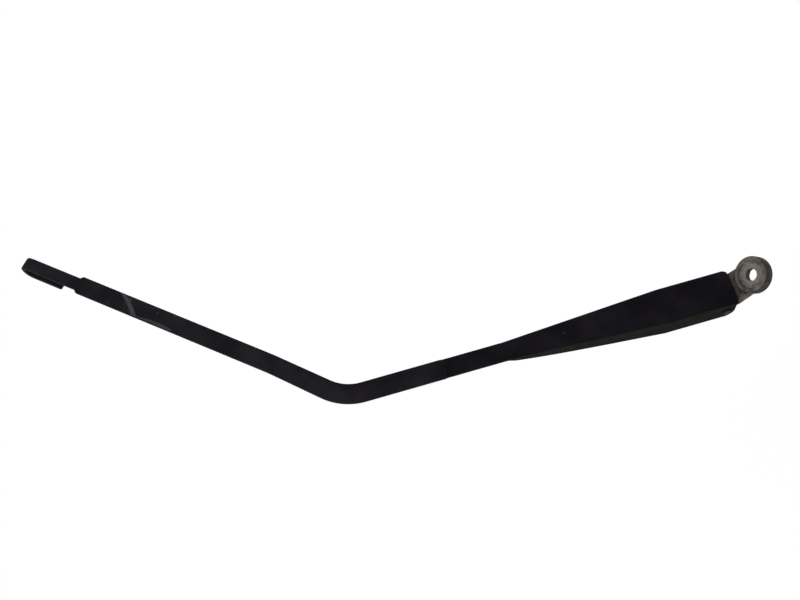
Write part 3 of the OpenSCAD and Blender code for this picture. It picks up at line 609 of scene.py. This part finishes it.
def makeSpring():
    # an open loop, a bent run-in, close coils and the same again turned round; a ring of wire rides along the path
    linkAt, ahead, side, up, run = springLine()
    pinX = float(np.dot(-linkAt, ahead))
    loopX = pinX + hardware["pinD"] / 2 + spring["linkGap"] + spring["linkSheet"] + spring["linkEye"] / 2
    loopX = loopX + spring["loopR"]
    coilR = (spring["outer"] - spring["wire"]) / 2
    length = run - loopX - 2 * spring["past"]
    turns = round(length / spring["pitch"])
    a = np.radians(np.linspace(*spring["loopOpen"], 25))
    loop = np.stack([loopX + spring["loopR"] * np.cos(a), spring["loopR"] * np.sin(a), 0 * a], -1)
    coilStart = np.array([loopX + spring["past"], 0, -coilR])
    coilWay = np.array([length / turns / (2 * math.pi), coilR, 0])
    coilWay = coilWay / np.linalg.norm(coilWay)
    leaving = np.array([-math.sin(a[-1]), math.cos(a[-1]), 0])
    runIn = bezier(loop[-1], loop[-1] + spring["loopR"] * leaving, coilStart - spring["loopR"] * coilWay, coilStart,
                   np.linspace(0, 1, 15)[1:-1])
    t = np.linspace(0, 1, turns * spring["turnSteps"] + 1)
    wound = 2 * math.pi * turns * t
    coil = np.stack([coilStart[0] + length * t, coilR * np.sin(wound), -coilR * np.cos(wound)], -1)
    endPart = np.concatenate([loop, runIn])
    farPart = endPart[::-1] * (-1, -1, 1) + (loopX + run, 0, 0)
    path = np.concatenate([endPart, coil, farPart])
    way = np.gradient(path, axis=0)
    way /= np.linalg.norm(way, axis=1)[:, None]
    # the ring's first direction leans on the coil's radius, so that it doesn't twist: radial = up x way
    lift = np.array([[0, 0, -1.0]])
    inCoil = np.linalg.norm(path[:, 1:], axis=1)[:, None] > coilR * 0.98
    radial = np.where(inCoil, path * (0, 1, 1), lift)
    blend = np.apply_along_axis(lambda v: np.convolve(np.pad(v, 8, "edge"), np.ones(17) / 17, "valid"), 0, radial)
    radial = blend - (blend * way).sum(1)[:, None] * way
    radial /= np.linalg.norm(radial, axis=1)[:, None]
    across = np.cross(way, radial)
    ring = np.linspace(0, 2 * math.pi, spring["sides"], endpoint=False)[None, :, None]
    rings = np.cos(ring) * radial[:, None] + np.sin(ring) * across[:, None]
    rings = path[:, None] + spring["wire"] / 2 * rings
    inArm = linkAt + rings[..., :1] * ahead + rings[..., 1:2] * side + rings[..., 2:] * up
    piece = sweep("tensionSpring", inRow(inArm), "arm", "spring_steel", springMaterial, "tension_spring", sharp=60)
    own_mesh(piece)


makeSpring()
linkMesh = frame["nodes"]["spring_link"].data
linkMesh.materials.clear()
linkMesh.materials.append(linkMaterial)
print("spring made")

def rounded(d, low, high, edge):  # a flat distance d carried between two heights, with its edges rounded
    q = np.stack([d + edge, np.abs(high[0] - (low + high[1]) / 2) - (high[1] - low) / 2 + edge])
    return np.minimum(q.max(0), 0) + np.linalg.norm(np.maximum(q, 0), axis=0) - edge


def blended(a, b, reach):  # union whose inner corner is filled over the given reach: the polynomial smooth minimum
    h = np.clip(0.5 + 0.5 * (b - a) / reach, 0, 1)
    return b * (1 - h) + a * h - reach * h * (1 - h)


def carved(a, b, reach):  # a without b, with the corner broken over the given reach
    return -blended(-a, b, reach)


def blendedEdge(a, b, reach):  # intersection whose edge is broken over the given reach
    return -blended(-a, -b, reach)


def taperedRib(x, z, start, startR, end, endR):  # distance to a slice through two discs and the strip between them
    way = np.subtract(end, start)
    t = np.clip(((x - start[0]) * way[0] + (z - start[1]) * way[1]) / way.dot(way), 0, 1)
    return np.hypot(x - start[0] - t * way[0], z - start[1] - t * way[1]) - startR - (endR - startR) * t


def headDistance(p):
    # signed distance in mm of the casting: boss, nose, neck, fork and rib blended, then carved by its holes
    x, y, z = p[..., 0], p[..., 1], p[..., 2]
    r = np.hypot(x, y)
    pinX, pinZ = hingePoint[0], hingePoint[2]
    dip = math.radians(hardware["dip"])
    linkAt = (pinX + hardware["reach"] * math.cos(dip), pinZ - hardware["reach"] * math.sin(dip))
    boss = rounded(r - head["rimR"], -head["capH"] - 1.6, (z, head["rimTop"]), head["rimEdge"])
    nose = rounded(r - head["noseR"], head["noseZ"], (z, 0), 0.8)
    solid = blended(boss, nose, 1.6)
    neck = rounded(np.abs(y) - head["neckHalf"], head["neckTop"] - head["neckT"], (z, head["neckTop"]), 0.7)
    neck = np.maximum(neck, np.maximum(pinX - x, x))
    fork = np.hypot(x - pinX, z - pinZ) - head["lugR"]
    for rib in (((pinX, pinZ), head["lugR"] - 1.8, linkAt, head["linkR"]), (linkAt, head["linkR"], (-9, -6.6), 3)):
        fork = np.minimum(fork, taperedRib(x, z, *rib))
    fork = rounded(fork, -head["neckHalf"], (y, head["neckHalf"]), 0.5)
    solid = blended(solid, np.minimum(neck, fork), 1.8)
    solid = carved(solid, blendedEdge(r - head["seatR"], -z, 1), 0.9)
    solid = carved(solid, np.maximum(r - head["studR"], -z - 8), 0.4)
    cone = head["throatR"] + 0.5 + (head["mouthR"] - head["throatR"]) * (-head["studL"] - z) / 6.7
    solid = carved(solid, np.maximum(r - cone, z + head["studL"]), 0.3)
    solid = carved(solid, np.hypot(x - pinX, z - pinZ) - head["pinHoleR"], 0.3)
    slot = np.maximum(np.abs(y) - head["slotHalf"], x - linkAt[0] - 4.2)
    solid = carved(solid, slot, 0.5)
    pocket = np.maximum(np.abs(y) - head["pocketHalf"], z - head["neckTop"] + 3.6)
    pocket = np.maximum(pocket, np.maximum(linkAt[0] + 6.2 - x, x + head["noseR"] + 0.5))
    return carved(solid, pocket, 0.9)


def surfaceNet(low, high, step, distance):
    # every cell that the surface crosses gets one point, the mean of its edges' crossings, moved onto the surface
    # along the distance's gradient; every crossed edge gets the quad of its four cells
    axes = [np.arange(a, b + step, step) for a, b in zip(low, high)]
    d = distance(np.stack(np.meshgrid(*axes, indexing="ij"), -1))
    cells = np.array(d.shape) - 1
    total, count = np.zeros((*cells, 3)), np.zeros(cells)
    crossings = []
    for axis in range(3):
        u, v = [k for k in range(3) if k != axis]
        near = np.take(d, np.arange(cells[axis]), axis)
        far = np.take(d, np.arange(1, cells[axis] + 1), axis)
        crossed = (near < 0) != (far < 0)
        share = np.where(crossed, near / np.where(crossed, near - far, 1), 0)
        crossings.append((axis, u, v, crossed, near < 0))
        for du in (0, 1):
            for dv in (0, 1):
                cut = [slice(None)] * 3
                cut[u], cut[v] = slice(du, cells[u] + du), slice(dv, cells[v] + dv)
                hit = crossed[tuple(cut)]
                count += hit
                total[..., axis] += share[tuple(cut)]
                total[..., u] += hit * du
                total[..., v] += hit * dv
    used = count > 0
    number = np.full(cells, -1)
    number[used] = np.arange(used.sum())
    points = (np.argwhere(used) + total[used] / count[used][:, None]) * step + low
    quads = []
    for axis, u, v, crossed, insideFirst in crossings:
        cut = [slice(None)] * 3
        cut[u], cut[v] = slice(1, cells[u]), slice(1, cells[v])
        at = np.argwhere(crossed[tuple(cut)])
        inside = insideFirst[tuple(cut)][tuple(at.T)]
        corners = []
        for du, dv in ((0, 0), (1, 0), (1, 1), (0, 1)):
            index = at.copy()
            index[:, u] += du
            index[:, v] += dv
            corners.append(number[tuple(index.T)])
        quad = np.stack(corners, -1)
        flip = inside == (axis == 1)
        quads.append(np.where(flip[:, None], quad[:, ::-1], quad))
    h = step * 0.1
    for _ in range(3):
        slope = np.stack([distance(points + h * e) - distance(points - h * e) for e in np.eye(3)], -1) / (2 * h)
        move = slope * (distance(points) / np.maximum((slope ** 2).sum(-1), 0.2))[:, None]
        points = points - np.clip(move, -step * 0.4, step * 0.4)
    return points, quads


teeth = {"count": 48, "share": 0.94, "wall": 0.9}


def makeSerrations():
    # a ring in the nose whose inner wall is a zigzag of teeth on a cone: radius = cone (1 or the tooth's share)
    half = np.arange(2 * teeth["count"])
    a = half * math.pi / teeth["count"]
    share = np.where(half % 2 == 0, 1.0, teeth["share"])
    z = np.array([head["noseZ"] + 0.95, -head["studL"] - 0.15, -head["studL"] + 0.05, head["noseZ"] + 0.75])
    cone, back = [head["mouthR"], head["throatR"]], [head["throatR"], head["mouthR"]]
    radius = np.stack([r * share for r in cone] + [r + teeth["wall"] + 0 * a for r in back])
    points = np.stack([radius * np.cos(a), radius * np.sin(a), np.broadcast_to(z[:, None], radius.shape)], -1)
    faces = [gridFaces(4, len(a), closeRows=True)]
    addPiece("spindleSerrations", points.reshape(-1, 3), faces, "head", "cast_zinc", zincMaterial, sharp=20)


def headMarks(points):
    # shares by radius and height: turned metal on the seat and the rim's top; painted shade with some grime in the
    # seat's corner, more so on the side of the neck, down the boss's side and on the neck round its foot
    r, z = np.hypot(points[:, 0], points[:, 1]), points[:, 2]
    topShare = smoothStep(13.4, 12, r) * smoothStep(-0.5, -0.1, z)
    corner = np.exp(-((r - 10.1) / 0.7) ** 2) * smoothStep(1.4, 0.9, z) * smoothStep(-0.3, -0.1, z)
    foot = smoothStep(15.2, 13.8, r) * smoothStep(12.6, 13.2, r) * smoothStep(1.0, 0.2, z)
    byNeck = smoothStep(-1, 10, -points[:, 0] - 0.2 * points[:, 1])
    topShare = topShare * (1 - 0.78 * byNeck * smoothStep(9.6, 10.8, r))
    # painted shade: less of the pale turned colour on the +X side of the seat and rim, away from the lamps
    outer = smoothStep(2, 11, 0.9 * points[:, 0] - 0.2 * points[:, 1])
    topShare = topShare * (1 - 0.6 * outer * smoothStep(4, 11, r))
    return topShare, np.maximum((0.1 + 0.85 * byNeck) * corner, 0.9 * foot)


low, high = np.array([-37.0, -14.05, -13.25]), np.array([14.2, 14.2, 3.8])
headPoints, headQuads = surfaceNet(low, high, head["step"], headDistance)
addPiece("mountingHead", headPoints, headQuads, "head", "cast_zinc", zincMaterial, "mounting_head", sharp=60,
         shares=dict(zip(("turned", "shadeAndGrime"), headMarks(headPoints))))
makeSerrations()
print("mounting head made")

view = {"lens": 63, "sensor": 36, "place": (440.7, -318.5, 879.5), "right": (0.6406, -0.2888, -0.7115),
        "up": (0.4683, 0.8813, 0.0638)}


def makeCamera():
    data = bpy.data.cameras.new("photoCamera")
    data.lens, data.sensor_width, data.clip_end = view["lens"], view["sensor"], 20
    camera = bpy.data.objects.new("photoCamera", data)
    bpy.context.scene.collection.objects.link(camera)
    right = np.array(view["right"]) / np.linalg.norm(view["right"])
    up = np.array(view["up"]) - np.dot(view["up"], right) * right
    up = up / np.linalg.norm(up)
    turn = np.stack([right, up, np.cross(right, up)], 1)
    camera.matrix_world = Matrix.Translation(np.array(view["place"]) * mm) @ Matrix(turn.tolist()).to_4x4()
    bpy.context.scene.camera = camera


def makeLamp(name, place, size, watts):  # a round soft lamp that faces the object
    data = bpy.data.lights.new(name, "AREA")
    data.shape, data.size, data.energy = "DISK", size, watts
    lamp = bpy.data.objects.new(name, data)
    bpy.context.scene.collection.objects.link(lamp)
    back = np.array(place) - np.array(studio["aim"])
    back = back / np.linalg.norm(back)
    side = np.cross((0, 0, 1), back)
    side = side / np.linalg.norm(side)
    turn = np.stack([side, np.cross(back, side), back], 1)
    lamp.matrix_world = Matrix.Translation(place) @ Matrix(turn.tolist()).to_4x4()


def seenRays(tree, unseen, seen):
    # the level for rays from the camera and for those that a gloss or a glass sends on, and the other for the rest
    rays = addNode(tree, "LightPath").node.outputs
    share = rays["Is Camera Ray"]
    for kind in ("Is Glossy Ray", "Is Transmission Ray"):
        share = addNode(tree, "Math", (share, rays[kind]), operation="MAXIMUM")
    return addNode(tree, "MapRange", (share, 0, 1, unseen, seen), **smooth)


def makeWorld():  # white where it is seen, and an even soft sky for the light
    world = bpy.data.worlds.new("whiteStudio")
    world.use_nodes = True
    tree = world.node_tree
    background = tree.nodes["Background"]
    background.inputs["Color"].default_value = (1, 1, 1, 1)
    tree.links.new(seenRays(tree, studio["sky"], 1), background.inputs["Strength"])
    bpy.context.scene.world = world


def makeFloor():
    # pale floor below the lowered arm: a diffuse share that keeps the shadow, and a glow where it is seen
    z = -studio["drop"]
    mesh = bpy.data.meshes.new("studioFloor")
    r = studio["floorR"]
    mesh.from_pydata([(-r, -r, z), (r, -r, z), (r, r, z), (-r, r, z)], [], [(0, 1, 2, 3)])
    floor = bpy.data.objects.new("studioFloor", mesh)
    bpy.context.scene.collection.objects.link(floor)
    material, tree, shader, _, _ = newMaterial("pearlStudioFloor")
    shader.inputs["Base Color"].default_value = linearColour(studio["floor"])
    shader.inputs["Roughness"].default_value = 0.9
    shader.inputs["Specular IOR Level"].default_value = 0
    shader.inputs["Emission Color"].default_value = (1, 1, 1, 1)
    tree.links.new(seenRays(tree, 0, studio["glow"]), shader.inputs["Emission Strength"])
    under = addNode(tree, "NewGeometry", output="Backfacing")
    mixed = addNode(tree, "MixShader", (under, shader.outputs[0], addNode(tree, "BsdfTransparent")))
    tree.links.new(mixed, tree.nodes["Material Output"].inputs["Surface"])
    mesh.materials.append(material)


studio = {"sky": 0.8, "floor": "#8a8a8a", "floorR": 12, "glow": 0.77, "drop": 0.14, "aim": (-0.15, 0.05, 0.15),
          "lamps": (("softTop", (-0.3, 1.0, 2.2), 1.8, 9), ("softFront", (-0.5, -1.9, 0.9), 1.4, 3))}
makeCamera()
for lamp in studio["lamps"]:
    makeLamp(*lamp)
makeWorld()
makeFloor()
bpy.context.scene.view_settings.view_transform = "Standard"
print("camera, light and floor made")
